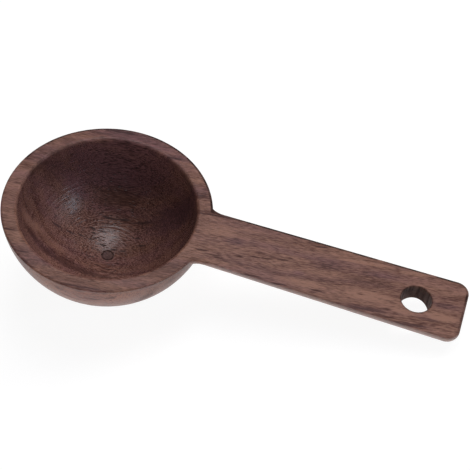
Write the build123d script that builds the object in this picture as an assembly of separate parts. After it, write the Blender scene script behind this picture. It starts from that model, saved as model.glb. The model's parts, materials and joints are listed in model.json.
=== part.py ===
from build123d import *
import math
import os

# Turned wooden measuring spoon, in millimetres: a round bowl and a flat handle carved from one blank,
# and a small wooden plug through the bowl's floor.
# The spoon is drawn with its rim level at height zero, the bowl's axis upright and the handle along X.
# Then it is laid down as it rests: on the round of the bowl and the underside of the handle's tip.

# Bowl
rim_diameter = 60.0
rim_width = 4.6
bowl_depth = 23.3
floor_thickness = 4.0
mouth_edge_rounding = 0.9

# Handle
handle_reach = 103.8
handle_root_width = 18.2
handle_tip_width = 20.2
handle_tip_thickness = 6.2
tip_corner_radius = 3.7
root_flare_radius = 7.0
root_flare_length = 1.8

# Edges
top_edge_rounding = 0.45
root_seam_rounding = 0.8

# Hanging hole
hole_diameter = 8.5
hole_setback = 13.5
hole_edge_rounding = 0.3

# Plug in the bowl's floor
plug_diameter = 3.5

# Sizes that follow
rim_radius = rim_diameter / 2
mouth_radius = rim_radius - rim_width
outside_depth = bowl_depth + floor_thickness
tip_half_width = handle_tip_width / 2
root_half_width = handle_root_width / 2
handle_taper_share = (tip_half_width - root_half_width) / (handle_reach - rim_radius)
underside_share = handle_tip_thickness / tip_half_width


def ball_radius(rim, depth):
    """Radius of the ball that passes through a rim circle and reaches this depth under it."""
    return (rim**2 + depth**2) / (2 * depth)


def ball(rim, depth):
    radius = ball_radius(rim, depth)
    return Pos(0, 0, radius - depth) * Sphere(radius)


def half_width_at(x):
    """Half the handle's width, on its straight taper, at a distance x from the bowl's axis."""
    return root_half_width + handle_taper_share * (x - rim_radius)


def handle_outline():
    """One half of the handle seen from above: flare, tapered edge, rounded corner and square end."""
    flare_x = rim_radius + root_flare_length
    flare_start = Vector(flare_x, half_width_at(flare_x))
    towards_bowl = Vector(-1, -handle_taper_share)
    flare_turn = math.degrees((root_flare_length + rim_width) / root_flare_radius)
    flare = JernArc(flare_start, towards_bowl, root_flare_radius, -flare_turn)
    tip = (handle_reach, half_width_at(handle_reach))
    end = (handle_reach, 0)
    edge_and_end = FilletPolyline(flare_start, tip, end, radius=tip_corner_radius)
    inside = Polyline(end, (0, 0), (0, (flare @ 1).Y), flare @ 1)
    return make_face(Curve() + [flare, edge_and_end, inside])


def make_handle():
    """The outline spun about the handle's centreline and flattened, with its upper half cut away,
    so that every cross-section is flat on top and half an ellipse underneath."""
    spun = revolve(handle_outline(), Axis.X)
    flattened = scale(spun, by=(1, 1, underside_share), about=(0, 0, 0))
    return split(flattened, bisect_by=Plane.XY, keep=Keep.BOTTOM)


def make_blank():
    """Solid bowl and handle in one piece, blended where the handle leaves the bowl."""
    bowl = split(ball(rim_radius, outside_depth), bisect_by=Plane.XY, keep=Keep.BOTTOM)
    handle = make_handle()
    blank = bowl + handle
    return fillet(new_edges(bowl, handle, combined=blank), root_seam_rounding)


def hollow_out(blank):
    hollowed = blank - ball(mouth_radius, bowl_depth)
    top = hollowed.faces().sort_by(Axis.Z)[-1]
    eased = fillet(top.outer_wire().edges(), top_edge_rounding)
    top = eased.faces().sort_by(Axis.Z)[-1]
    return fillet(top.inner_wires()[0].edges(), mouth_edge_rounding)


def drill_hanging_hole(spoon):
    hole_x = handle_reach - hole_setback
    drill = Pos(hole_x, 0, 0) * Cylinder(hole_diameter / 2, outside_depth)
    drilled = spoon - drill
    return fillet(new_edges(spoon, drill, combined=drilled), hole_edge_rounding)


def plug_bore():
    """The space that the plug fills: a straight bore on the bowl's axis, right through its floor."""
    return Pos(0, 0, -outside_depth) * Cylinder(plug_diameter / 2, outside_depth)


def make_spoon_body():
    return drill_hanging_hole(hollow_out(make_blank())) - plug_bore()


def make_floor_plug():
    """A dowel that fills its bore, flush with the hollow above and with the round of the bowl below."""
    floor = ball(rim_radius, outside_depth) - ball(mouth_radius, bowl_depth)
    return floor & plug_bore()


def tip_height(tilt):
    """Height of the tip's underside over a plane that touches the bowl, at a tilt of the handle."""
    outer_radius = ball_radius(rim_radius, outside_depth)
    bowl_reach = outer_radius - (outer_radius - outside_depth) * math.cos(tilt)
    corner_x = handle_reach - tip_corner_radius
    corner_y = half_width_at(corner_x) - tip_corner_radius * math.hypot(1, handle_taper_share)
    corner_reach = corner_x * math.sin(tilt) + underside_share * corner_y * math.cos(tilt)
    round_reach = math.hypot(math.sin(tilt), underside_share * math.cos(tilt)) * tip_corner_radius
    return bowl_reach - corner_reach - round_reach


def resting_tilt():
    """The tilt at which bowl and tip both touch the surface, found by halving a quarter turn."""
    low, high = 0, math.pi / 2
    for _ in range(50):
        middle = (low + high) / 2
        if tip_height(middle) > 0:
            low = middle
        else:
            high = middle
    return math.degrees(low)


def laid_down(pieces):
    """The pieces tilted to rest, with the origin under the middle of the spoon, on the surface."""
    tilted = [Rot(0, resting_tilt(), 0) * piece for piece in pieces]
    box = Compound(tilted).bounding_box()
    place = Pos(-box.center().X, -box.center().Y, -box.min.Z)
    return [place * piece for piece in tilted]


spoon_body, floor_plug = laid_down([make_spoon_body(), make_floor_plug()])

os.makedirs("parts", exist_ok=True)
export_step(spoon_body, "parts/spoon_body.step")
export_step(floor_plug, "parts/floor_plug.step")
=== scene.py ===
"""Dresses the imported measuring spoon: oiled walnut for its body, end grain for its plug, a plain stage."""

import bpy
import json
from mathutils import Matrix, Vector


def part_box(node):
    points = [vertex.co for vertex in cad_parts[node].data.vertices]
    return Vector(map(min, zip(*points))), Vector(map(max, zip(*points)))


bl_info = {
    "name": "Walnut Measuring Spoon",
    "version": (1, 0, 0),
    "blender": (4, 5, 0),
    "location": "View3D > Sidebar > Spoon",
    "description": "Finishes a turned walnut measuring spoon and sets a soft studio round it",
    "category": "Material",
}

import json
import math
from collections import namedtuple

import bmesh
import bpy
from bpy.props import FloatProperty, FloatVectorProperty, PointerProperty
from mathutils import Matrix, Vector

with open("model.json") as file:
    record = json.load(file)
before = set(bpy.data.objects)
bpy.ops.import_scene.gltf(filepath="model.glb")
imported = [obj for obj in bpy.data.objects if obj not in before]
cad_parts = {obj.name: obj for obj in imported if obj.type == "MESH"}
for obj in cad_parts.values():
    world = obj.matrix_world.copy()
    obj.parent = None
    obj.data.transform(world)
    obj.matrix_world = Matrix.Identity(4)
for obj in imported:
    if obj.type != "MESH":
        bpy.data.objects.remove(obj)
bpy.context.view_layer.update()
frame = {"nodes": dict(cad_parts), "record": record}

MM = 0.001

# The spoon's own level frame: its origin is the middle of the rim, its top face is flat at height zero
# and the handle runs along X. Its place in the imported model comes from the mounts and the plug.
mounts = {mount["name"]: mount for mount in frame["record"]["mounts"]}
spoon_up = Vector(mounts["top_face"]["axis"]).normalized()
face_point = Vector(mounts["top_face"]["pos_m"])
plug_low, plug_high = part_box("floor_plug")
plug_middle = (plug_low + plug_high) / 2
rim_middle = plug_middle + spoon_up * (face_point - plug_middle).dot(spoon_up)
tilt = math.atan2(spoon_up.x, spoon_up.z)
level_frame = Matrix.Translation(rim_middle) @ Matrix.Rotation(tilt, 4, "Y")
hole_middle = level_frame.inverted() @ Vector(mounts["hanging_hole"]["pos_m"])
hole_radius = mounts["hanging_hole"]["dims"]["r_mm"] * MM

# The outline of the top face.
rim_radius = 30.0 * MM
handle_reach = 103.8 * MM
root_half_width = 9.1 * MM
tip_half_width = 10.1 * MM
corner_radius = 3.7 * MM

# The hollow is part of a ball. The plug's middle lies halfway down the thickness of its floor.
hollow_radius = 25.5 * MM
floor_thickness = 4.0 * MM
floor_middle = level_frame.inverted() @ plug_middle
hollow_middle = floor_middle + Vector((0.0, 0.0, floor_thickness / 2 + hollow_radius))

# Where each finish, painted shade and painted sheen of the body lies. A fade runs from a value where the
# finish is absent to one where it is full, and a band is full between two values and fades over a soft
# stretch outside them. They hold heights,
# X and Y in the level frame, distances outside the top face's outline, distances from a middle, or shares.
Fade = namedtuple("Fade", "absent full")
Band = namedtuple("Band", "low high soft")
# Painted shade: a dark line on the rounding of the outer top edges.
painted_edge_band = Band(-0.60 * MM, 0.10 * MM, 0.30 * MM)
painted_edge_height = Fade(-0.28 * MM, -0.20 * MM)
# Painted shade on the rounding of the bowl's mouth, on its far side only.
mouth_radius = Band(24.0 * MM, 25.4 * MM, 1.2 * MM)
mouth_height = Fade(-5.0 * MM, -1.0 * MM)
hollow_reach = Fade(hollow_radius + 1.5 * MM, hollow_radius + 0.5 * MM)
hollow_height = Fade(-0.2 * MM, -1.2 * MM)
hole_reach = Fade(hole_radius + 0.5 * MM, hole_radius + 0.2 * MM)
below_face_height = Fade(-0.4 * MM, -1.6 * MM)
# Painted sheen: the handle's near side under its top edge is lightened.
near_side_height = Fade(-0.02 * MM, -0.14 * MM)
near_side_x = Fade(31.0 * MM, 36.0 * MM)
near_side_y = Fade(-7.0 * MM, -8.5 * MM)
# Where the painted shade grows towards the far side.
far_shade_y = Fade(-9.0 * MM, 7.0 * MM)
end_grain_cut_share = Fade(0.35, 0.95)
streak_reach_share = Fade(1.25, 0.25)
seam_reach_share = Fade(1.2, 0.4)

# How strongly each of them shows.
# Strength of the painted shade on the edges of the near side; on the far side it is full.
near_edge_shade = 0.30
# Strength of the painted shade on the mouth.
mouth_shade = 0.55
seam_darkness = 0.95
streak_darkness = 0.42
near_hollow_darkness = 0.11
# The far wall of the hollow is darker by painted shade as well as by oil.
far_hollow_oil_and_shade = 0.24
hollow_purple = 0.24
# Painted bounce light: the outside below the top face is lightened.
outside_painted_light = 0.25
outside_coarseness = 0.4

# How long, wide and high the patches of each pattern in the wood are, with its fibres along the length.
drift_patch = (50 * MM, 14 * MM, 14 * MM)
ring_patch = (30 * MM, 6 * MM, 6 * MM)
band_patch = (26 * MM, 2.6 * MM, 3.4 * MM)
hue_patch = (30 * MM, 3.5 * MM, 5 * MM)
strand_patch = (7 * MM, 0.45 * MM, 0.45 * MM)
fibre_patch = (2.3 * MM, 0.20 * MM, 0.20 * MM)
fine_pore_cell = (2.2 * MM, 0.42 * MM, 0.42 * MM)
long_pore_cell = (12 * MM, 0.9 * MM, 0.9 * MM)
wander_patch = (6 * MM, 1.2 * MM, 1.2 * MM)

# The same for what tools left on it, for the seam, and for the breaks along the painted shade of the edges
# and the mouth, in the level frame.
ridge_patch = (6 * MM, 4 * MM, 4 * MM)
seam_patch = (0.7 * MM, 0.7 * MM, 0.7 * MM)
shade_patch = (5 * MM, 5 * MM, 5 * MM)
drill_patch = (0.9 * MM, 0.9 * MM, 6 * MM)

# Streaks of colour that show in the wood, and in the hollow two that are painted shade and painted sheen:
# where each lies in the level frame and how far it reaches along the fibres and across them, in millimetres,
# how much it lightens (or darkens) the wood, and how purple (or tan) it makes it.
Streak = namedtuple("Streak", "x y z length width lightens purples")
STREAKS = (
    # Bands and patches on the handle.
    Streak(38.0, 0.9, 0.0, 3.2, 1.5, -0.18, 0.40),
    Streak(34.0, 2.5, 0.0, 8.0, 1.6, 0.25, -0.20),
    Streak(57.5, -3.0, 0.0, 2.2, 1.0, 0.00, 0.40),
    Streak(60.0, -6.0, 0.0, 8.0, 1.6, 0.30, -0.20),
    Streak(64.0, 2.5, 0.0, 6.0, 2.2, -0.32, 0.30),
    Streak(76.0, 1.5, 0.0, 8.0, 2.2, -0.30, 0.05),
    Streak(79.5, 4.6, 0.0, 4.5, 1.4, -0.05, 0.30),
    Streak(74.5, 7.0, 0.0, 9.0, 0.7, 0.60, -0.50),
    Streak(87.5, 8.0, 0.0, 5.0, 0.7, 0.60, -0.50),
    Streak(76.5, -3.9, 0.0, 8.0, 1.7, 0.85, -0.25),
    Streak(87.0, -5.6, 0.0, 5.0, 1.3, 0.60, -0.20),
    Streak(98.5, -3.6, 0.0, 4.5, 1.4, 0.95, -0.25),
    Streak(95.0, -5.4, 0.0, 3.5, 0.6, -0.30, 0.30),
    Streak(77.0, -8.4, 0.0, 7.0, 0.8, -0.30, 0.30),
    Streak(91.0, -8.9, 0.0, 5.0, 0.7, -0.50, 0.40),
    Streak(98.0, 0.6, 0.0, 5.0, 1.0, -0.35, 0.40),
    # Dark dashes on the handle.
    Streak(29.5, 7.8, 0.0, 3.4, 0.26, -1.00, 0.20),
    Streak(30.2, -5.2, 0.0, 2.0, 0.28, -0.90, 0.00),
    Streak(33.4, -5.8, 0.0, 2.6, 0.28, -0.90, 0.00),
    Streak(35.0, -6.2, 0.0, 1.6, 0.30, -0.90, 0.20),
    Streak(40.2, -3.7, 0.0, 1.4, 0.28, -1.00, 0.00),
    Streak(44.6, -2.2, 0.0, 2.4, 0.28, -1.00, 0.00),
    Streak(47.8, -1.6, 0.0, 1.6, 0.26, -1.00, 0.00),
    Streak(52.0, -0.4, 0.0, 2.0, 0.28, -0.80, 0.00),
    Streak(53.6, 0.8, 0.0, 1.2, 0.28, -0.80, 0.00),
    Streak(45.7, -8.7, 0.0, 2.2, 0.30, -0.90, 0.00),
    Streak(53.0, -8.8, 0.0, 2.6, 0.34, -1.00, 0.20),
    Streak(63.6, -7.1, 0.0, 1.8, 0.34, -1.20, 0.00),
    Streak(75.2, -4.0, 0.0, 1.5, 0.30, -1.20, 0.00),
    Streak(61.0, 7.9, 0.0, 2.6, 0.30, -0.80, 0.20),
    Streak(83.5, -6.3, 0.0, 1.4, 0.30, -1.00, 0.00),
    Streak(84.5, -8.7, 0.0, 1.6, 0.26, -1.00, 0.00),
    # The rim's face.
    Streak(-22.4, -17.8, 0.0, 2.2, 0.35, -1.00, 0.20),
    Streak(3.0, -28.9, 0.0, 7.5, 0.30, -0.60, 0.10),
    Streak(-16.0, -23.6, 0.0, 2.4, 0.36, -0.70, 0.20),
    Streak(11.5, 23.9, 0.0, 3.0, 0.35, -0.70, 0.30),
    Streak(-8.0, 27.6, 0.0, 8.0, 0.5, -0.60, 0.30),
    Streak(-27.5, 0.0, 0.0, 5.0, 5.0, 0.45, 0.20),
    Streak(-23.5, 12.0, 0.0, 6.0, 4.0, -0.16, 0.40),
    Streak(-3.0, 27.2, 0.0, 19.0, 2.8, -0.22, 0.75),
    Streak(14.0, 24.5, 0.0, 8.0, 1.2, -0.25, 0.35),
    Streak(-14.0, -25.0, 0.0, 9.0, 3.0, -0.10, 0.35),
    Streak(2.0, -28.0, 0.0, 12.0, 2.0, -0.12, 0.05),
    Streak(22.0, -15.5, 0.0, 7.0, 3.4, -0.35, 0.00),
    # The outer wall.
    Streak(-3.0, -29.4, -3.0, 5.0, 0.36, -0.45, 0.10),
    Streak(6.0, -28.4, -5.0, 5.0, 0.36, -0.45, 0.10),
    Streak(0.0, -28.6, -6.5, 5.0, 0.40, -0.50, 0.10),
    Streak(12.0, -27.0, -3.5, 4.0, 0.40, -0.50, 0.10),
    Streak(19.8, -20.4, -7.0, 8.0, 1.6, -0.60, 0.00),
    # Bands and patches in the hollow.
    Streak(-20.0, -9.4, -10.8, 5.0, 1.7, -0.70, 0.15),
    Streak(-14.5, -10.0, -16.2, 4.5, 2.1, -0.65, 0.15),
    Streak(-9.0, -9.6, -19.6, 5.0, 2.2, -0.65, 0.15),
    Streak(-2.5, -9.2, -21.4, 5.0, 1.6, -0.65, 0.10),
    Streak(3.5, -8.8, -21.6, 4.0, 0.9, -0.50, 0.00),
    Streak(-19.5, -5.0, -13.5, 5.0, 2.0, 0.50, -0.20),
    Streak(-13.0, -5.8, -18.8, 6.0, 2.0, 0.30, -0.20),
    Streak(-1.5, 22.0, -8.0, 26.0, 5.0, 0.26, 0.75),
    Streak(-12.0, 15.0, -13.0, 16.0, 4.0, 0.25, 0.60),
    # Painted shade darkens the hollow's right wall; it is purple wood as well.
    Streak(18.0, 13.0, -11.0, 14.0, 4.5, -0.40, 0.75),
    Streak(-5.0, 16.8, -16.0, 9.0, 3.0, -0.62, -0.40),
    Streak(-21.0, 5.5, -10.5, 8.0, 3.0, 0.45, 0.25),
    # Lighter wood between dark bands, lightened further by painted sheen.
    Streak(-22.0, -5.8, -9.4, 5.0, 2.0, 1.00, 0.00),
    Streak(8.0, 4.5, -21.6, 5.0, 2.5, -0.25, -0.20),
    # Dark dashes in the hollow.
    Streak(6.5, 12.2, -19.2, 6.0, 0.5, -0.80, 0.20),
    Streak(-16.5, 0.8, -17.2, 4.5, 0.4, -0.70, 0.30),
    Streak(-12.6, 1.7, -19.8, 2.4, 0.4, -0.90, 0.20),
    Streak(-6.5, 5.4, -21.9, 0.9, 0.30, -1.60, 0.00),
    Streak(-5.6, 4.0, -22.4, 0.9, 0.30, -1.60, 0.00),
    Streak(-7.4, 6.6, -21.3, 1.2, 0.30, -1.40, 0.00),
    Streak(-4.3, 6.9, -22.0, 1.4, 0.30, -1.40, 0.00),
    Streak(-6.6, 3.0, -22.3, 1.0, 0.28, -1.40, 0.00),
    Streak(-2.5, 2.9, -23.0, 1.4, 0.34, -1.60, 0.00),
    Streak(0.8, 2.6, -23.1, 1.2, 0.30, -1.40, 0.00),
    Streak(3.7, 2.8, -22.9, 1.4, 0.30, -1.40, 0.00),
    Streak(-16.8, 9.8, -14.2, 1.8, 0.20, -0.80, 0.20),
    Streak(-14.2, 11.1, -15.9, 1.6, 0.20, -0.80, 0.20),
    Streak(-3.9, 11.2, -20.3, 3.0, 0.40, -1.20, 0.20),
    Streak(0.5, 12.1, -20.3, 2.4, 0.40, -1.30, 0.20),
    Streak(-9.5, 2.8, -21.3, 1.4, 0.34, -1.20, 0.10),
    Streak(-4.6, -2.6, -22.8, 1.4, 0.30, -1.20, 0.00),
    Streak(-1.3, -4.8, -22.8, 1.4, 0.30, -1.20, 0.00),
    Streak(2.0, -5.2, -22.7, 1.8, 0.30, -1.20, 0.00),
    Streak(8.6, 5.4, -21.1, 1.6, 0.34, -1.20, 0.10),
    Streak(6.7, 7.6, -21.2, 1.2, 0.34, -1.20, 0.10),
    Streak(0.2, 23.1, -8.6, 4.5, 0.18, -0.70, 0.20),
    Streak(-4.0, 23.6, -6.8, 4.0, 0.16, -0.60, 0.20),
    Streak(-3.2, 21.7, -10.8, 4.5, 0.18, -0.60, 0.20),
)

# Soft round lamps: the compass angle that each stands at (0 beyond the handle's tip, 90 on the far side), its
# height angle, how wide it is, how brightly it lights a surface that faces it, its colour, and whether the
# oiled wood mirrors it.
Lamp = namedtuple("Lamp", "name compass height width brightness colour mirrored")
LAMPS = (
    Lamp("far_side", 90.0, 62.0, 280 * MM, 0.21, (1.0, 1.0, 1.0), False),
    Lamp("back", 45.0, 42.0, 280 * MM, 0.32, (1.0, 1.0, 1.0), False),
    Lamp("tip_side", 15.0, 20.0, 280 * MM, 0.06, (1.0, 1.0, 1.0), True),
    Lamp("tip_spot", -5.0, 25.0, 80 * MM, 0.12, (0.65, 0.82, 1.0), True),
    Lamp("top", 72.0, 77.5, 280 * MM, 0.28, (0.96, 0.95, 1.0), True),
    Lamp("front", 262.0, 5.0, 280 * MM, 0.50, (1.0, 0.98, 0.96), False),
)


class WoodSettings(bpy.types.PropertyGroup):
    """The walnut's colours and the size of its grain."""

    light_wood: FloatVectorProperty(
        name="Light wood",
        description="Colour of the tan wood between the dark bands",
        subtype="COLOR",
        default=(0.290, 0.145, 0.102),
    )
    dark_wood: FloatVectorProperty(
        name="Dark wood",
        description="Colour of the dark bands",
        subtype="COLOR",
        default=(0.094, 0.035, 0.025),
    )
    purple_wood: FloatVectorProperty(
        name="Purple wood",
        description="Colour that tints the purple streaks",
        subtype="COLOR",
        default=(0.146, 0.066, 0.070),
    )
    oil_tint: FloatVectorProperty(
        name="Oil tint",
        description="How the oil has reddened the outside of the bowl and the underside",
        subtype="COLOR",
        default=(1.0, 0.80, 0.72),
    )
    # Painted sheen: a pale colour screened over the handle's near side, under its top edge.
    near_side_sheen: FloatVectorProperty(
        name="Near side sheen",
        description="Pale colour that sanding has left in the grain along the handle's near side",
        subtype="COLOR",
        default=(0.18, 0.15, 0.14),
    )
    pore: FloatVectorProperty(
        name="Pores",
        description="Colour inside the open pores",
        subtype="COLOR",
        default=(0.022, 0.008, 0.006),
    )
    ring_width: FloatProperty(
        name="Ring width",
        description="Wood that the tree grew in one year",
        unit="LENGTH",
        default=4.4 * MM,
    )
    pith: FloatVectorProperty(
        name="Pith",
        description="A point of the line that the growth rings go round, from the middle of the rim",
        subtype="TRANSLATION",
        default=(0.0, 56.4 * MM, -39.2 * MM),
    )
    fibre_turn: FloatProperty(
        name="Fibre turn",
        description="How far the fibres turn away from the handle's centreline, seen from above",
        subtype="ANGLE",
        default=math.radians(8.5),
    )
    roughness: FloatProperty(
        name="Roughness",
        description="Roughness of the oiled surface between the pores",
        default=0.38,
        min=0.0,
        max=1.0,
    )
    hollow_roughness: FloatProperty(
        name="Hollow roughness",
        description="Roughness of the hollow, which is finer sanded and shinier",
        default=0.15,
        min=0.0,
        max=1.0,
    )
    dark_rings_from: FloatProperty(
        name="Dark rings from",
        description="Distance from the pith at which the darkest growth rings begin",
        unit="LENGTH",
        default=59.0 * MM,
    )
    dark_rings_to: FloatProperty(
        name="Dark rings to",
        description="Distance from the pith at which the darkest growth rings end",
        unit="LENGTH",
        default=68.5 * MM,
    )
    plug_radius: FloatProperty(
        name="Plug radius",
        description="Radius of the seam round the plug, where glue and oil have darkened the wood",
        unit="LENGTH",
        default=1.75 * MM,
    )


class StageSettings(bpy.types.PropertyGroup):
    """The floor, the lamps and the camera."""

    floor_width: FloatProperty(
        name="Floor width",
        description="Side of the square floor",
        unit="LENGTH",
        default=8.0,
    )
    camera_place: FloatVectorProperty(
        name="Camera place",
        description="Where the camera stands",
        subtype="TRANSLATION",
        default=(101.924 * MM, -210.041 * MM, 278.432 * MM),
    )
    camera_turn: FloatVectorProperty(
        name="Camera turn",
        description="How the camera is turned",
        subtype="EULER",
        default=(math.radians(41.896), math.radians(7.019), math.radians(17.752)),
    )
    lens: FloatProperty(
        name="Lens",
        description="Focal length, in millimetres, on a sensor 36 mm wide",
        default=95.61,
    )
    lamp_distance: FloatProperty(
        name="Lamp distance",
        description="How far the lamps stand from the spoon",
        unit="LENGTH",
        default=0.6,
    )
    fill: FloatProperty(
        name="Fill",
        description="Brightness of the soft light from all round",
        default=0.04,
        min=0.0,
    )


def feed(tree, socket, source):
    """Links a socket to another node's output, or gives it a plain value."""
    if isinstance(source, bpy.types.NodeSocket):
        tree.links.new(source, socket)
    else:
        socket.default_value = source


def calculate(tree, operation, *sources, clamp=False):
    """A number worked out from others."""
    made = tree.nodes.new("ShaderNodeMath")
    made.operation = operation
    made.use_clamp = clamp
    for socket, source in zip(made.inputs, sources):
        feed(tree, socket, source)
    return made.outputs["Value"]


def combine(tree, operation, *sources, result="Vector"):
    """A vector worked out from others, or with the result Value a number."""
    made = tree.nodes.new("ShaderNodeVectorMath")
    made.operation = operation
    for socket, source in zip(made.inputs, sources):
        feed(tree, socket, source)
    return made.outputs[result]


def parts_of(tree, place):
    """The X, Y and Z of a place, by these names."""
    made = tree.nodes.new("ShaderNodeSeparateXYZ")
    feed(tree, made.inputs["Vector"], place)
    return made.outputs


def vector_of(tree, **parts):
    """A vector from its X, Y and Z, where one that isn't given is nought."""
    made = tree.nodes.new("ShaderNodeCombineXYZ")
    for name, source in parts.items():
        feed(tree, made.inputs[name], source)
    return made.outputs["Vector"]


def axis_distance(tree, place):
    """How far a place lies from the upright axis through the middle of its frame."""
    flat = combine(tree, "MULTIPLY", place, (1.0, 1.0, 0.0))
    return combine(tree, "LENGTH", flat, result="Value")


def product(tree, *shares):
    """Several shares multiplied together."""
    result = shares[0]
    for share in shares[1:]:
        result = calculate(tree, "MULTIPLY", result, share)
    return result


def strongest(tree, *shares):
    """The largest of several shares."""
    most = shares[0]
    for share in shares[1:]:
        most = calculate(tree, "MAXIMUM", most, share)
    return most


def remap(tree, value, low, high, to_low=0.0, to_high=1.0, smooth=False):
    """The value that runs from to_low to to_high while another goes from low to high."""
    made = tree.nodes.new("ShaderNodeMapRange")
    made.interpolation_type = "SMOOTHSTEP" if smooth else "LINEAR"
    names = ("Value", "From Min", "From Max", "To Min", "To Max")
    for name, source in zip(names, (value, low, high, to_low, to_high)):
        feed(tree, made.inputs[name], source)
    return made.outputs["Result"]


def fade(tree, value, ends):
    """Nought where a value is at the absent end of a fade, one at its full end, and smooth between."""
    return remap(tree, value, ends.absent, ends.full, smooth=True)


def between(tree, value, band):
    """One where a value lies inside a band, fading to nought over the soft stretch outside it."""
    above = fade(tree, value, Fade(band.low - band.soft, band.low))
    below = fade(tree, value, Fade(band.high + band.soft, band.high))
    return product(tree, above, below)


def blend_colours(tree, share, first, second, kind="MIX"):
    """The first colour with a share of the second mixed in, or blended with it in another kind of way."""
    made = tree.nodes.new("ShaderNodeMix")
    made.data_type = "RGBA"
    made.blend_type = kind
    feed(tree, made.inputs["Factor"], share)
    colours = [socket for socket in made.inputs if socket.type == "RGBA"]
    feed(tree, colours[0], first)
    feed(tree, colours[1], second)
    return [socket for socket in made.outputs if socket.type == "RGBA"][0]


def noise(tree, place, blotch, detail=2.0, rough=0.5, shift=(0.0, 0.0, 0.0), result="Fac"):
    """Soft noise, about a half in the middle, whose blotches are as long, wide and high as blotch says."""
    stretched = combine(tree, "DIVIDE", place, blotch)
    made = tree.nodes.new("ShaderNodeTexNoise")
    feed(tree, made.inputs["Vector"], combine(tree, "ADD", stretched, shift))
    made.inputs["Scale"].default_value = 1.0
    made.inputs["Detail"].default_value = detail
    made.inputs["Roughness"].default_value = rough
    return made.outputs[result]


def sway(tree, place, blotch, detail=2.0):
    """Soft noise in all three directions, about nought in the middle and a half at most."""
    colour = noise(tree, place, blotch, detail=detail, result="Color")
    return combine(tree, "SUBTRACT", colour, (0.5, 0.5, 0.5))


def ripple(tree, value, strength):
    """Noise with its middle moved from a half to nought, times a strength."""
    return product(tree, calculate(tree, "SUBTRACT", value, 0.5), strength)


def dashes(tree, place, cell, thickness, share, shift=(0.0, 0.0, 0.0)):
    """Short dark dashes along X, in a share of the cells, whose thickness is a share of the cell's."""
    core_share = 0.35
    stretched = combine(tree, "DIVIDE", place, cell)
    made = tree.nodes.new("ShaderNodeTexVoronoi")
    feed(tree, made.inputs["Vector"], combine(tree, "ADD", stretched, shift))
    made.inputs["Scale"].default_value = 1.0
    shown = calculate(tree, "LESS_THAN", made.outputs["Color"], share)
    return product(tree, shown, fade(tree, made.outputs["Distance"], Fade(thickness, thickness * core_share)))


def opaque(colour):
    return (*colour, 1.0)


def grey(level):
    return (level, level, level, 1.0)


def group_with(name, inputs, outputs):
    """A new shader node group, with its input and output nodes. A socket is a name, a kind and a default."""
    group = bpy.data.node_groups.new(name, "ShaderNodeTree")
    for socket_name, kind, default in inputs:
        socket = group.interface.new_socket(socket_name, in_out="INPUT", socket_type="NodeSocket" + kind)
        socket.default_value = default
    for socket_name, kind in outputs:
        group.interface.new_socket(socket_name, in_out="OUTPUT", socket_type="NodeSocket" + kind)
    return group, group.nodes.new("NodeGroupInput").outputs, group.nodes.new("NodeGroupOutput").inputs


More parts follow.
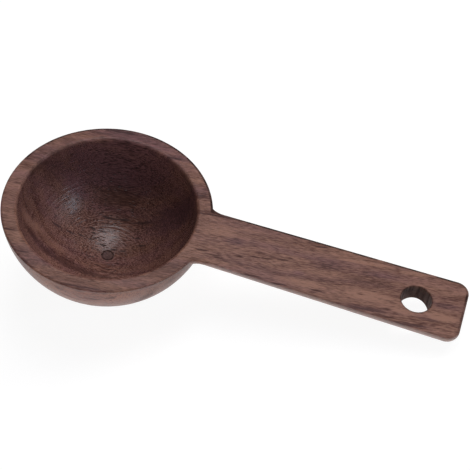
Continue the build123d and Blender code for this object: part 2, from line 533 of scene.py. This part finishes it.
def make_grain_group(name):
    """Walnut as a solid, with its fibres along X: growth rings round a pith, bands of colour, fine fibres,
    and pores that show as dashes along the fibres and as dots on end grain."""
    group, given, made = group_with(
        name,
        (
            ("Place", "Vector", (0.0, 0.0, 0.0)),
            ("Pith", "Vector", (0.0, 0.0, 0.0)),
            ("Ring Width", "Float", 4.0 * MM),
            ("Ring Darkness", "Float", 0.3),
            ("Dark Rings From", "Float", 0.0),
            ("Dark Rings To", "Float", 0.0),
            ("End Grain", "Float", 0.0),
            ("Open Pores", "Float", 0.0),
            ("Ridges", "Float", 0.0),
            ("Lightens", "Float", 0.0),
            ("Purples", "Float", 0.0),
            ("Darkens", "Float", 0.0),
            ("Light Wood", "Color", (1.0, 1.0, 1.0, 1.0)),
            ("Dark Wood", "Color", (1.0, 1.0, 1.0, 1.0)),
            ("Purple Wood", "Color", (1.0, 1.0, 1.0, 1.0)),
            ("Pore", "Color", (0.0, 0.0, 0.0, 1.0)),
            ("Roughness", "Float", 0.5),
        ),
        (("Color", "Color"), ("Roughness", "Float"), ("Height", "Float")),
    )
    # The growth rings drift, so that they aren't true circles.
    drift_width = 7 * MM
    drift = sway(group, given["Place"], drift_patch)
    drift = combine(group, "MULTIPLY", drift, (0.0, drift_width, drift_width))
    place = combine(group, "ADD", given["Place"], drift)

    # Late wood darkens the outer side of each ring, most in the darkest rings, and fades in places.
    late_wood_sharpness = 2.5
    dark_rings_soft = 2 * MM
    pale_ring_share = 0.25
    faded_share = 0.4
    from_pith = combine(group, "SUBTRACT", place, given["Pith"])
    across = combine(group, "MULTIPLY", from_pith, (0.0, 1.0, 1.0))
    distance = combine(group, "LENGTH", across, result="Value")
    ring = calculate(group, "FRACT", calculate(group, "DIVIDE", distance, given["Ring Width"]))
    late_wood = calculate(group, "POWER", ring, late_wood_sharpness)
    past_first = calculate(group, "SUBTRACT", distance, given["Dark Rings From"])
    before_last = calculate(group, "SUBTRACT", given["Dark Rings To"], distance)
    among_darkest = calculate(group, "MINIMUM", past_first, before_last)
    ring_strength = remap(group, among_darkest, 0.0, dark_rings_soft, pale_ring_share, 1.0)
    fading = remap(group, noise(group, place, ring_patch), 0.30, 0.55, faded_share, 1.0)
    ring_shade = product(group, late_wood, fading, given["Ring Darkness"], ring_strength)

    # Bands, strands, fibres, ridges and rings set the tone, from dark wood at nought to light wood at one.
    # Where it falls below nought the colour goes on towards that of the pores.
    strand_contrast = 0.36
    fibre_contrast = 3.5
    open_pore_contrast = 1.3
    ridge_contrast = 1.2
    deepening = 0.45
    bands = noise(group, place, band_patch, detail=3.0, rough=0.55)
    strands = noise(group, place, strand_patch, shift=(2.0, 5.0, 1.0))
    fibres = noise(group, place, fibre_patch, rough=0.6)
    coarse = calculate(group, "MULTIPLY_ADD", given["Open Pores"], open_pore_contrast, 1.0)
    tone = remap(group, bands, 0.28, 0.72, 0.25, 0.88)
    for pattern, contrast in ((strands, strand_contrast), (fibres, fibre_contrast)):
        tone = calculate(group, "MULTIPLY_ADD", ripple(group, pattern, contrast), coarse, tone)
    tone = calculate(group, "ADD", tone, given["Lightens"])
    tone = calculate(group, "MULTIPLY_ADD", given["Ridges"], ridge_contrast, tone)
    tone = calculate(group, "SUBTRACT", tone, ring_shade)
    deepest = calculate(group, "MULTIPLY", tone, -deepening, clamp=True)
    tone = calculate(group, "ADD", tone, 0.0, clamp=True)
    colour = blend_colours(group, tone, given["Dark Wood"], given["Light Wood"])

    # Purple tints the wood in places, as light or dark as the tone.
    most_purple = 0.5
    hue = noise(group, place, hue_patch, shift=(7.0, 3.0, 5.0))
    purple = remap(group, hue, 0.42, 0.72, 0.0, most_purple)
    purple = calculate(group, "ADD", purple, given["Purples"], clamp=True)
    purple_wood = combine(group, "MULTIPLY", given["Purple Wood"], remap(group, tone, 0.0, 1.0, 0.5, 1.5))
    colour = blend_colours(group, purple, colour, purple_wood)

    # Pores are darker than the wood round them, and end grain soaks up more oil.
    fine_pore_darkness = 0.40
    long_pore_darkness = 0.65
    soaked_darkness = 0.25
    fine_pores = dashes(group, place, fine_pore_cell, thickness=0.36, share=0.42)
    long_pores = dashes(group, place, long_pore_cell, thickness=0.19, share=0.40, shift=(3.0, 1.0, 4.0))
    fine_pores = product(group, fine_pores, coarse, fine_pore_darkness)
    pores = strongest(group, fine_pores, product(group, long_pores, long_pore_darkness))
    colour = blend_colours(group, pores, colour, given["Pore"])
    soaked = product(group, given["End Grain"], soaked_darkness)
    shade = strongest(group, soaked, given["Darkens"], deepest)
    feed(group, made["Color"], blend_colours(group, shade, colour, given["Pore"]))

    # Pores and darkened wood are more matt, fibres stand a little proud, and ridges more.
    pore_roughness = 0.5
    fibre_roughness = 0.3
    open_pore_fibre_height = 0.4
    ridge_height = 2.6
    rough = calculate(group, "ADD", given["Roughness"], ripple(group, fibres, fibre_roughness))
    matt = strongest(group, pores, given["Darkens"])
    feed(group, made["Roughness"], calculate(group, "MULTIPLY_ADD", matt, pore_roughness, rough, clamp=True))
    fibre_height = remap(group, given["Open Pores"], 0.0, 1.0, 1.0, open_pore_fibre_height)
    height = calculate(group, "SUBTRACT", product(group, fibres, fibre_height), pores)
    feed(group, made["Height"], calculate(group, "MULTIPLY_ADD", given["Ridges"], ridge_height, height))
    return group


def make_ridge_group(name):
    """Faint ridges that turning left round the hollow, broken along their length: about nought in the middle.
    The place is measured from the middle of the hollow's ball."""
    group, given, made = group_with(
        name,
        (("Place", "Vector", (0.0, 0.0, 0.0)), ("Ball Radius", "Float", 1.0)),
        (("Height", "Float"),),
    )
    # The noise is read at the direction from the axis and the way up the wall, so that it runs in rings.
    ring_spacing = 0.62 * MM
    arc_share = 0.80
    faintest_share = 0.15
    drop = calculate(group, "MULTIPLY", parts_of(group, given["Place"])["Z"], -1.0)
    angle = calculate(group, "ARCTAN2", axis_distance(group, given["Place"]), drop)
    up_wall = calculate(group, "MULTIPLY", angle, given["Ball Radius"])
    flat = combine(group, "MULTIPLY", given["Place"], (1.0, 1.0, 0.0))
    ring_place = combine(group, "ADD", combine(group, "NORMALIZE", flat), vector_of(group, Z=up_wall))
    ridges = noise(group, ring_place, (arc_share, arc_share, ring_spacing), detail=1.0)
    patches = noise(group, given["Place"], ridge_patch)
    strength = remap(group, patches, 0.40, 0.62, faintest_share, 1.0, smooth=True)
    feed(group, made["Height"], ripple(group, ridges, strength))
    return group


def make_streak_group(name):
    """A soft streak along X: how strong it is at a place, given its middle and its reach."""
    group, given, made = group_with(
        name,
        (
            ("Place", "Vector", (0.0, 0.0, 0.0)),
            ("Wander", "Vector", (0.0, 0.0, 0.0)),
            ("Middle", "Vector", (0.0, 0.0, 0.0)),
            ("Reach", "Vector", (1.0, 1.0, 1.0)),
        ),
        (("Strength", "Float"),),
    )
    wandered = combine(group, "MULTIPLY_ADD", given["Wander"], given["Reach"], given["Place"])
    away = combine(group, "SUBTRACT", wandered, given["Middle"])
    reached = combine(group, "LENGTH", combine(group, "DIVIDE", away, given["Reach"]), result="Value")
    feed(group, made["Strength"], fade(group, reached, streak_reach_share))
    return group


def make_seam_group(name):
    """The dark seam between the plug and the bowl's floor: how strong it is at a place in the level frame."""
    group, given, made = group_with(
        name,
        (("Place", "Vector", (0.0, 0.0, 0.0)), ("Radius", "Float", 1.0)),
        (("Strength", "Float"),),
    )
    narrow_reach = 0.24 * MM
    wide_reach = 0.42 * MM
    faintest_share = 0.75
    uneven = noise(group, given["Place"], seam_patch)
    reach = remap(group, uneven, 0.3, 0.7, narrow_reach, wide_reach)
    past_radius = calculate(group, "SUBTRACT", axis_distance(group, given["Place"]), given["Radius"])
    reached = calculate(group, "DIVIDE", calculate(group, "ABSOLUTE", past_radius), reach)
    line = fade(group, reached, seam_reach_share)
    worn = remap(group, uneven, 0.38, 0.58, faintest_share, 1.0)
    feed(group, made["Strength"], product(group, line, worn))
    return group


def place_group(tree, group, **values):
    """A group's node in a tree. A keyword is a socket's name, with _ for its spaces."""
    node = tree.nodes.new("ShaderNodeGroup")
    node.node_tree = group
    for name, value in values.items():
        feed(tree, node.inputs[name.replace("_", " ")], value)
    return node.outputs


def kept_group(name, maker):
    """A node group that is made the first time that it is asked for."""
    return bpy.data.node_groups.get(name) or maker(name)


def add_streaks(tree, place, to_fibres):
    """The sums of what all the streaks lighten and purple at a place."""
    height_to_width = 3
    streak_group = kept_group("colour_streak", make_streak_group)
    wander = sway(tree, place, wander_patch, detail=3.0)
    lightens = purples = 0.0
    for streak in STREAKS:
        middle = to_fibres @ Vector((streak.x * MM, streak.y * MM, streak.z * MM))
        reach = (streak.length * MM, streak.width * MM, height_to_width * streak.width * MM)
        streaked = place_group(tree, streak_group, Place=place, Wander=wander, Middle=middle, Reach=reach)
        strength = streaked["Strength"]
        lightens = calculate(tree, "MULTIPLY_ADD", strength, streak.lightens, lightens)
        purples = calculate(tree, "MULTIPLY_ADD", strength, streak.purples, purples)
    return lightens, purples


def new_material(name):
    """A new material, with its node tree and its shader."""
    material = bpy.data.materials.new(name)
    material.use_nodes = True
    return material, material.node_tree, material.node_tree.nodes["Principled BSDF"]


def place_in(tree, local_frame):
    """A point of the surface, as a place in a frame of the spoon's."""
    mapping = tree.nodes.new("ShaderNodeMapping")
    mapping.vector_type = "TEXTURE"
    mapping.inputs["Location"].default_value = local_frame.to_translation()
    mapping.inputs["Rotation"].default_value = local_frame.to_euler("XYZ")
    coordinates = tree.nodes.new("ShaderNodeTexCoord")
    feed(tree, mapping.inputs["Vector"], coordinates.outputs["Object"])
    return mapping.outputs["Vector"]


def end_grain_share(tree, fibre_axis):
    """How squarely the surface cuts the fibres: nought along them and one straight across them."""
    normal = tree.nodes.new("ShaderNodeTexCoord").outputs["Normal"]
    along = calculate(tree, "ABSOLUTE", combine(tree, "DOT_PRODUCT", normal, fibre_axis, result="Value"))
    return fade(tree, along, end_grain_cut_share)


def uneven_shade(tree, level_place):
    """How the painted shade on the edges and the mouth varies along its length."""
    faintest_share = 0.1
    patches = noise(tree, level_place, shade_patch, detail=3.0)
    return remap(tree, patches, 0.35, 0.60, faintest_share, 1.0)


def outline_distance(tree, level_place):
    """How far outside the spoon's outline a place of the top face lies, less than nought inside it."""
    parts = parts_of(tree, level_place)
    outside_bowl = calculate(tree, "SUBTRACT", axis_distance(tree, level_place), rim_radius)
    half_width = remap(tree, parts["X"], rim_radius, handle_reach, root_half_width, tip_half_width)
    past_side = calculate(tree, "SUBTRACT", calculate(tree, "ABSOLUTE", parts["Y"]), half_width)
    past_tip = calculate(tree, "SUBTRACT", parts["X"], handle_reach)
    past_both = vector_of(tree, X=past_side, Y=past_tip)
    from_corner = combine(tree, "ADD", past_both, (corner_radius, corner_radius, 0.0))
    from_corner = combine(tree, "MAXIMUM", from_corner, (0.0, 0.0, 0.0))
    from_corner = combine(tree, "LENGTH", from_corner, result="Value")
    past_corner = calculate(tree, "SUBTRACT", from_corner, corner_radius)
    outside_handle = strongest(tree, past_side, past_tip, past_corner)
    return calculate(tree, "MINIMUM", outside_bowl, outside_handle)


def edge_shade_share(tree, level_place):
    """How much painted shade darkens the rounding of the outer top edges, and nought elsewhere."""
    line = between(tree, outline_distance(tree, level_place), painted_edge_band)
    high = fade(tree, parts_of(tree, level_place)["Z"], painted_edge_height)
    return product(tree, line, high, uneven_shade(tree, level_place))


def near_side_sheen_share(tree, level_place):
    """One on the handle's near side, under its top edge, where painted sheen lightens the wood."""
    parts = parts_of(tree, level_place)
    below = fade(tree, parts["Z"], near_side_height)
    past_bowl = fade(tree, parts["X"], near_side_x)
    return product(tree, below, past_bowl, fade(tree, parts["Y"], near_side_y))


def far_shade_share(tree, level_place):
    """One on the spoon's far half, fading to nought in its near half, where it strengthens the painted shade.
    """
    return fade(tree, parts_of(tree, level_place)["Y"], far_shade_y)


def mouth_shade_share(tree, level_place):
    """How much painted shade darkens the rounding of the bowl's mouth, and nought elsewhere."""
    line = between(tree, axis_distance(tree, level_place), mouth_radius)
    high = fade(tree, parts_of(tree, level_place)["Z"], mouth_height)
    return product(tree, line, high, uneven_shade(tree, level_place))


def hole_shade_share(tree, level_place):
    """How much painted shade darkens the wall of the hanging hole, varied by the upright marks of the drill,
    and nought elsewhere.
    """
    lightest_mark = 0.45
    darkest_mark = 0.85
    away = combine(tree, "SUBTRACT", level_place, hole_middle)
    marks = remap(tree, noise(tree, away, drill_patch, detail=3.0), 0.35, 0.65, lightest_mark, darkest_mark)
    return product(tree, fade(tree, axis_distance(tree, away), hole_reach), marks)


def hollow_share(tree, level_place):
    """One on the wall and the floor of the hollow, and nought elsewhere."""
    away = combine(tree, "SUBTRACT", level_place, hollow_middle)
    inside = fade(tree, combine(tree, "LENGTH", away, result="Value"), hollow_reach)
    return product(tree, inside, fade(tree, parts_of(tree, level_place)["Z"], hollow_height))


def below_face_share(tree, level_place):
    """Nought on the top face and one below its edges."""
    return fade(tree, parts_of(tree, level_place)["Z"], below_face_height)


def seam_share(tree, level_place, radius):
    """How dark the seam round the plug is, and nought elsewhere."""
    seam_group = kept_group("plug_seam", make_seam_group)
    strength = place_group(tree, seam_group, Place=level_place, Radius=radius)["Strength"]
    return product(tree, strength, seam_darkness)


def finish(tree, shader, grain, colour):
    """Joins a colour and the grain's roughness and height to a shader with a thin satin oil."""
    bump = tree.nodes.new("ShaderNodeBump")
    bump.inputs["Strength"].default_value = 0.7
    bump.inputs["Distance"].default_value = 0.10 * MM
    feed(tree, bump.inputs["Height"], grain["Height"])
    feed(tree, shader.inputs["Normal"], bump.outputs["Normal"])
    feed(tree, shader.inputs["Base Color"], colour)
    feed(tree, shader.inputs["Roughness"], grain["Roughness"])
    shader.inputs["Specular IOR Level"].default_value = 0.4


def make_walnut(wood):
    """Oiled walnut, cut with its fibres nearly along the handle."""
    material, tree, shader = new_material("oiled_walnut")
    to_fibres = Matrix.Rotation(-wood.fibre_turn, 4, "Z")
    fibre_frame = level_frame @ to_fibres.inverted()
    place = place_in(tree, fibre_frame)
    level_place = place_in(tree, level_frame)
    lightens, purples = add_streaks(tree, place, to_fibres)
    hollow = hollow_share(tree, level_place)
    far_shade = far_shade_share(tree, level_place)
    sheen_share = near_side_sheen_share(tree, level_place)
    outside = calculate(tree, "SUBTRACT", below_face_share(tree, level_place), hollow, clamp=True)

    # The hollow is more purple than the rest and darker from oil, with painted shade darkening its far wall
    # more, and it has ridges.
    purples = calculate(tree, "MULTIPLY_ADD", hollow, hollow_purple, purples)
    hollow_oil_and_shade = remap(tree, far_shade, 0.0, 1.0, near_hollow_darkness, far_hollow_oil_and_shade)
    dark_streaks = calculate(tree, "MULTIPLY", lightens, -streak_darkness, clamp=True)
    dark_grain_oil_and_shade = calculate(tree, "MULTIPLY_ADD", hollow, hollow_oil_and_shade, dark_streaks, clamp=True)
    from_middle = combine(tree, "SUBTRACT", level_place, hollow_middle)
    ridge_group = kept_group("turning_ridges", make_ridge_group)
    ridges = place_group(tree, ridge_group, Place=from_middle, Ball_Radius=hollow_radius)["Height"]

    # Painted shade darkens the rounding of the outer top edges, less on the near side, and that of the mouth
    # only on the far side.
    edge_shade_strength = remap(tree, far_shade, 0.0, 1.0, near_edge_shade, 1.0)
    edges = product(tree, edge_shade_share(tree, level_place), edge_shade_strength)
    darkens = strongest(
        tree,
        calculate(tree, "SUBTRACT", edges, sheen_share, clamp=True),
        product(tree, mouth_shade_share(tree, level_place), far_shade, mouth_shade),
        hole_shade_share(tree, level_place),
        seam_share(tree, level_place, wood.plug_radius),
        dark_grain_oil_and_shade,
    )
    grain = place_group(
        tree,
        kept_group("walnut_grain", make_grain_group),
        Place=place,
        Pith=wood.pith,
        Ring_Width=wood.ring_width,
        Ring_Darkness=0.7,
        Dark_Rings_From=wood.dark_rings_from,
        Dark_Rings_To=wood.dark_rings_to,
        End_Grain=end_grain_share(tree, fibre_frame.to_3x3().col[0]),
        Open_Pores=calculate(tree, "MULTIPLY_ADD", outside, outside_coarseness, hollow),
        Ridges=product(tree, ridges, hollow),
        # Painted bounce light lightens the outside below the top face.
        Lightens=calculate(tree, "MULTIPLY_ADD", outside, outside_painted_light, lightens),
        Purples=purples,
        Darkens=darkens,
        Light_Wood=opaque(wood.light_wood),
        Dark_Wood=opaque(wood.dark_wood),
        Purple_Wood=opaque(wood.purple_wood),
        Pore=opaque(wood.pore),
        Roughness=remap(tree, hollow, 0.0, 1.0, wood.roughness, wood.hollow_roughness),
    )
    reddened = blend_colours(tree, outside, grain["Color"], opaque(wood.oil_tint), kind="MULTIPLY")
    # Painted sheen lightens the handle's near side.
    sheened = blend_colours(tree, sheen_share, reddened, opaque(wood.near_side_sheen), kind="SCREEN")
    finish(tree, shader, grain, sheened)
    return material


def make_end_grain(wood):
    """The plug's wood, whose fibres stand upright, so that its faces show end grain."""
    material, tree, shader = new_material("plug_end_grain")
    upright = Matrix.Rotation(math.radians(90), 4, "Y") @ Matrix.Translation((0, 11 * MM, 6 * MM))
    grain = place_group(
        tree,
        kept_group("walnut_grain", make_grain_group),
        Place=place_in(tree, level_frame @ upright),
        Pith=(0.0, 14 * MM, 9 * MM),
        Ring_Width=1.1 * MM,
        Ring_Darkness=0.6,
        Dark_Rings_To=40 * MM,
        Open_Pores=1.0,
        Purples=0.3,
        Darkens=seam_share(tree, place_in(tree, level_frame), wood.plug_radius),
        Light_Wood=opaque(0.50 * wood.light_wood),
        Dark_Wood=opaque(0.60 * wood.dark_wood),
        Purple_Wood=opaque(0.55 * wood.purple_wood),
        Pore=opaque(wood.pore),
        Roughness=0.5,
    )
    finish(tree, shader, grain, grain["Color"])
    return material


def give(node_name, material):
    """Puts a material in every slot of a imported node."""
    for slot in frame["nodes"][node_name].material_slots:
        slot.material = material


class SPOON_OT_spoon_body(bpy.types.Operator):
    """Gives the spoon's body its oiled walnut"""

    bl_idname = "spoon.spoon_body"
    bl_label = "Spoon Body"

    def execute(self, context):
        give("spoon_body", make_walnut(context.scene.spoon_wood))
        return {"FINISHED"}


class SPOON_OT_floor_plug(bpy.types.Operator):
    """Gives the plug in the bowl's floor its end grain"""

    bl_idname = "spoon.floor_plug"
    bl_label = "Floor Plug"

    def execute(self, context):
        give("floor_plug", make_end_grain(context.scene.spoon_wood))
        return {"FINISHED"}


def seen_directly(tree):
    """One where a ray comes from the camera, a reflection or glass, and nought where it is bounced light."""
    path = tree.nodes.new("ShaderNodeLightPath").outputs
    return strongest(tree, path["Is Glossy Ray"], path["Is Transmission Ray"], path["Is Camera Ray"])


def plain_shader(tree, kind, level):
    """A shader of a plain kind, in a grey of this level."""
    made = tree.nodes.new(kind)
    made.inputs["Color"].default_value = grey(level)
    return made.outputs[0]


def join_shaders(tree, kind, first, second):
    """The node that adds or mixes two shaders."""
    made = tree.nodes.new(kind)
    shaders = [socket for socket in made.inputs if socket.type == "SHADER"]
    tree.links.new(first, shaders[0])
    tree.links.new(second, shaders[1])
    return made


def make_floor_material():
    """Matt white. Seen directly it has a glow that lifts it to white and leaves the spoon's shadow faint."""
    material = bpy.data.materials.new("white_floor")
    material.use_nodes = True
    tree = material.node_tree
    tree.nodes.clear()
    lit = plain_shader(tree, "ShaderNodeBsdfDiffuse", 0.85)
    faintly_lit = plain_shader(tree, "ShaderNodeBsdfDiffuse", 0.15)
    glow = plain_shader(tree, "ShaderNodeEmission", 0.92)
    lifted = join_shaders(tree, "ShaderNodeAddShader", faintly_lit, glow)
    chosen = join_shaders(tree, "ShaderNodeMixShader", lit, lifted.outputs["Shader"])
    feed(tree, chosen.inputs["Fac"], seen_directly(tree))
    output = tree.nodes.new("ShaderNodeOutputMaterial")
    tree.links.new(chosen.outputs["Shader"], output.inputs["Surface"])
    return material


def make_floor(width):
    """A flat square that the spoon lies on."""
    shape = bmesh.new()
    bmesh.ops.create_grid(shape, x_segments=1, y_segments=1, size=width / 2)
    mesh = bpy.data.meshes.new("floor")
    shape.to_mesh(mesh)
    shape.free()
    floor = bpy.data.objects.new("floor", mesh)
    bpy.context.scene.collection.objects.link(floor)
    floor.data.materials.append(make_floor_material())


def make_world(fill):
    """Soft light from all round. The camera sees white past the floor, and reflections see the soft light."""
    world = bpy.data.worlds.new("studio")
    bpy.context.scene.world = world
    world.use_nodes = True
    tree = world.node_tree
    camera_ray = tree.nodes.new("ShaderNodeLightPath").outputs["Is Camera Ray"]
    seen = blend_colours(tree, camera_ray, grey(fill), grey(1.0))
    feed(tree, tree.nodes["Background"].inputs["Color"], seen)


def make_lamp(lamp, distance):
    """A soft lamp that looks at the spoon, strong enough to light what faces it to the given brightness."""
    light = bpy.data.lights.new(lamp.name, "AREA")
    light.shape = "DISK"
    light.size = lamp.width
    light.energy = lamp.brightness * (math.pi * distance) ** 2
    light.color = lamp.colour
    turned = Matrix.Rotation(math.radians(lamp.compass), 3, "Z")
    raised = Matrix.Rotation(math.radians(-lamp.height), 3, "Y")
    towards = (turned @ raised).col[0]
    stand = bpy.data.objects.new(lamp.name, light)
    stand.location = towards * distance
    stand.rotation_euler = towards.to_track_quat("Z", "Y").to_euler()
    stand.visible_camera = False
    stand.visible_glossy = lamp.mirrored
    bpy.context.scene.collection.objects.link(stand)


def make_camera(place, turn, lens):
    """The camera that looks down at the spoon from beside its handle."""
    camera = bpy.data.objects.new("camera", bpy.data.cameras.new("camera"))
    camera.location = place
    camera.rotation_euler = turn
    camera.data.sensor_width = 36.0
    camera.data.lens = lens
    bpy.context.scene.collection.objects.link(camera)
    bpy.context.scene.camera = camera


class SPOON_OT_stage(bpy.types.Operator):
    """Sets the floor, the soft lamps and the camera"""

    bl_idname = "spoon.stage"
    bl_label = "Stage"

    def execute(self, context):
        stage = context.scene.spoon_stage
        context.scene.view_settings.view_transform = "Standard"
        make_camera(stage.camera_place, stage.camera_turn, stage.lens)
        make_floor(stage.floor_width)
        make_world(stage.fill)
        for lamp in LAMPS:
            make_lamp(lamp, stage.lamp_distance)
        return {"FINISHED"}


class SPOON_PT_panel(bpy.types.Panel):
    """Lists the spoon's sizes and colours and the steps that make it"""

    bl_idname = "SPOON_PT_panel"
    bl_label = "Measuring Spoon"
    bl_space_type = "VIEW_3D"
    bl_region_type = "UI"
    bl_category = "Spoon"

    def draw(self, context):
        for settings in (context.scene.spoon_wood, context.scene.spoon_stage):
            for name in settings.bl_rna.properties.keys():
                if name not in ("rna_type", "name"):
                    self.layout.prop(settings, name)
        for operator in OPERATORS:
            self.layout.operator(operator.bl_idname)


OPERATORS = (SPOON_OT_stage, SPOON_OT_spoon_body, SPOON_OT_floor_plug)
CLASSES = (WoodSettings, StageSettings, *OPERATORS, SPOON_PT_panel)


def register():
    for kind in CLASSES:
        bpy.utils.register_class(kind)
    bpy.types.Scene.spoon_wood = PointerProperty(type=WoodSettings)
    bpy.types.Scene.spoon_stage = PointerProperty(type=StageSettings)


def unregister():
    del bpy.types.Scene.spoon_stage
    del bpy.types.Scene.spoon_wood
    for kind in reversed(CLASSES):
        bpy.utils.unregister_class(kind)


def main():
    register()
    bpy.ops.spoon.stage()
    bpy.ops.spoon.spoon_body()
    bpy.ops.spoon.floor_plug()


if __name__ == "__main__":
    main()
